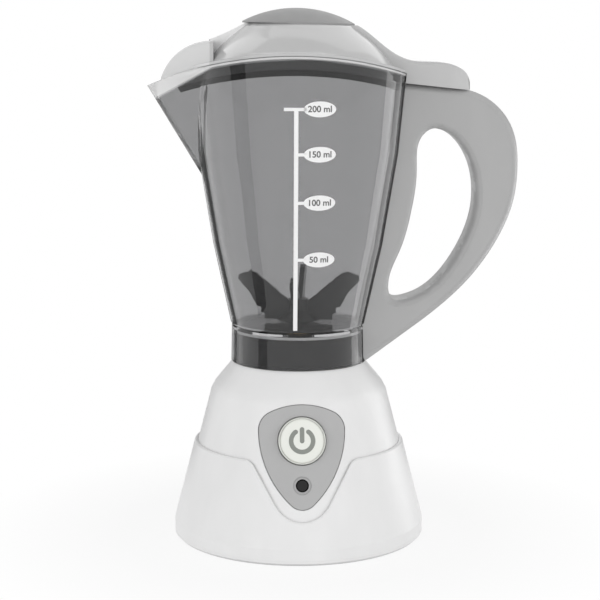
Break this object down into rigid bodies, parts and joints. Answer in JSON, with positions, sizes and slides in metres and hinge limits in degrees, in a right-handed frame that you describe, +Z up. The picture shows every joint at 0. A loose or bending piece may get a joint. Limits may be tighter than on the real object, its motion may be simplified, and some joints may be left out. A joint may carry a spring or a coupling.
{
  "type": "toy blender",
  "caption": "Toy blender: conical motor base with push button, clear tapered jug with arched rim, pouring spout and loop handle, finned rotor, lift-off lid with thumb tab.",
  "frame": {"origin": "on the jug's axis at the plane the toy rests on", "axes": "+Z up along the jug's axis, -Y to the control panel, +X to the handle, -X to the spout"},
  "size_m": [0.1268, 0.0878, 0.1833],
  "materials": {
    "white_shell": "fine satin moulded ABS",
    "grey_panel": "satin grey plastic",
    "button_white": "glossy off-white",
    "lens_black": "smoked lens",
    "smoke_clear": "smoke-tinted clear plastic",
    "dark_plastic": "dark grey gloss",
    "rotor_plastic": "dark grey gloss",
    "handle_grey": "light grey satin",
    "lid_grey": "light grey gloss",
    "cap_grey": "mid grey gloss",
    "seal_rubber": "soft black",
    "gear_plastic": "natural acetal",
    "board_green": "coated board",
    "screw_steel": "zinc-plated",
    "shaft_steel": "ground",
    "bush_brass": "plain bearing",
    "motor_can": "bright can",
    "cell_metal": "plain jacket",
    "scale_ink": "printed white",
    "number_ink": "printed grey",
    "sign_ink": "printed grey sign"
  },
  "bodies": {
    "base": {"lower_shell": "white_shell", "upper_cover": "white_shell", "base_plate": "white_shell", "base_screws": "screw_steel", "battery_cells": "cell_metal", "battery_contacts": "screw_steel", "control_panel": "grey_panel", "power_switch": "dark_plastic", "button_spring": "screw_steel", "circuit_board": "board_green", "board_screws": "screw_steel", "indicator_led": "lens_black", "motor": "motor_can", "motor_screws": "screw_steel", "gear_plate": "gear_plastic", "gear_plate_screws": "screw_steel", "drive_bushing": "bush_brass"},
    "battery_door": {"battery_door": "white_shell", "door_screw": "screw_steel"},
    "button": {"push_button": "button_white", "switch_plunger": "dark_plastic"},
    "motor_rotor": {"motor_shaft": "shaft_steel", "motor_pinion": "bush_brass"},
    "drive": {"drive_gear": "gear_plastic", "drive_shaft": "shaft_steel", "shaft_clip": "screw_steel", "drive_coupler": "dark_plastic"},
    "jug": {"jug_shell": "smoke_clear", "jug_base_insert": "dark_plastic", "blade_bush": "bush_brass", "shaft_seal": "seal_rubber", "handle_front": "handle_grey", "handle_back": "handle_grey", "handle_screws": "screw_steel"},
    "blade": {"blade_rotor": "rotor_plastic", "blade_shaft": "shaft_steel", "blade_coupler": "dark_plastic"},
    "lid": {"lid_cover": "lid_grey", "lid_plug": "dark_plastic", "lid_seal": "seal_rubber", "lid_cap": "cap_grey"}
  },
  "joints": [
    {"name": "button_press", "type": "slide", "parent": "base", "child": "button", "axis": [0, 0.9678, -0.2517], "range_m": [0, 0.0015], "stiffness_N_per_m": 300, "springref_m": -0.004, "deforming": ["button_spring"]},
    {"name": "battery_door_off", "type": "slide", "parent": "base", "child": "battery_door", "axis": [0, 0, -1], "range_m": [0, 0.02]},
    {"name": "drive_spin", "type": "hinge", "parent": "base", "child": "drive", "pos_m": [0, 0, 0.051], "axis": [0, 0, 1], "continuous": true},
    {"name": "pinion_spin", "type": "hinge", "parent": "base", "child": "motor_rotor", "pos_m": [0, 0.0154, 0.051], "axis": [0, 0, 1], "continuous": true},
    {"name": "jug_lift", "type": "slide", "parent": "base", "child": "jug", "axis": [0, 0, 1], "range_m": [0, 0.05]},
    {"name": "blade_spin", "type": "hinge", "parent": "jug", "child": "blade", "pos_m": [0, 0, 0.08], "axis": [0, 0, 1], "continuous": true},
    {"name": "lid_lift", "type": "slide", "parent": "jug", "child": "lid", "axis": [0, 0, 1], "range_m": [0, 0.04]}
  ],
  "couplings": [
    {"joint": "pinion_spin", "follows": "drive_spin", "ratio": -2.6667},
    {"joint": "blade_spin", "follows": "drive_spin", "ratio": 1}
  ]
}
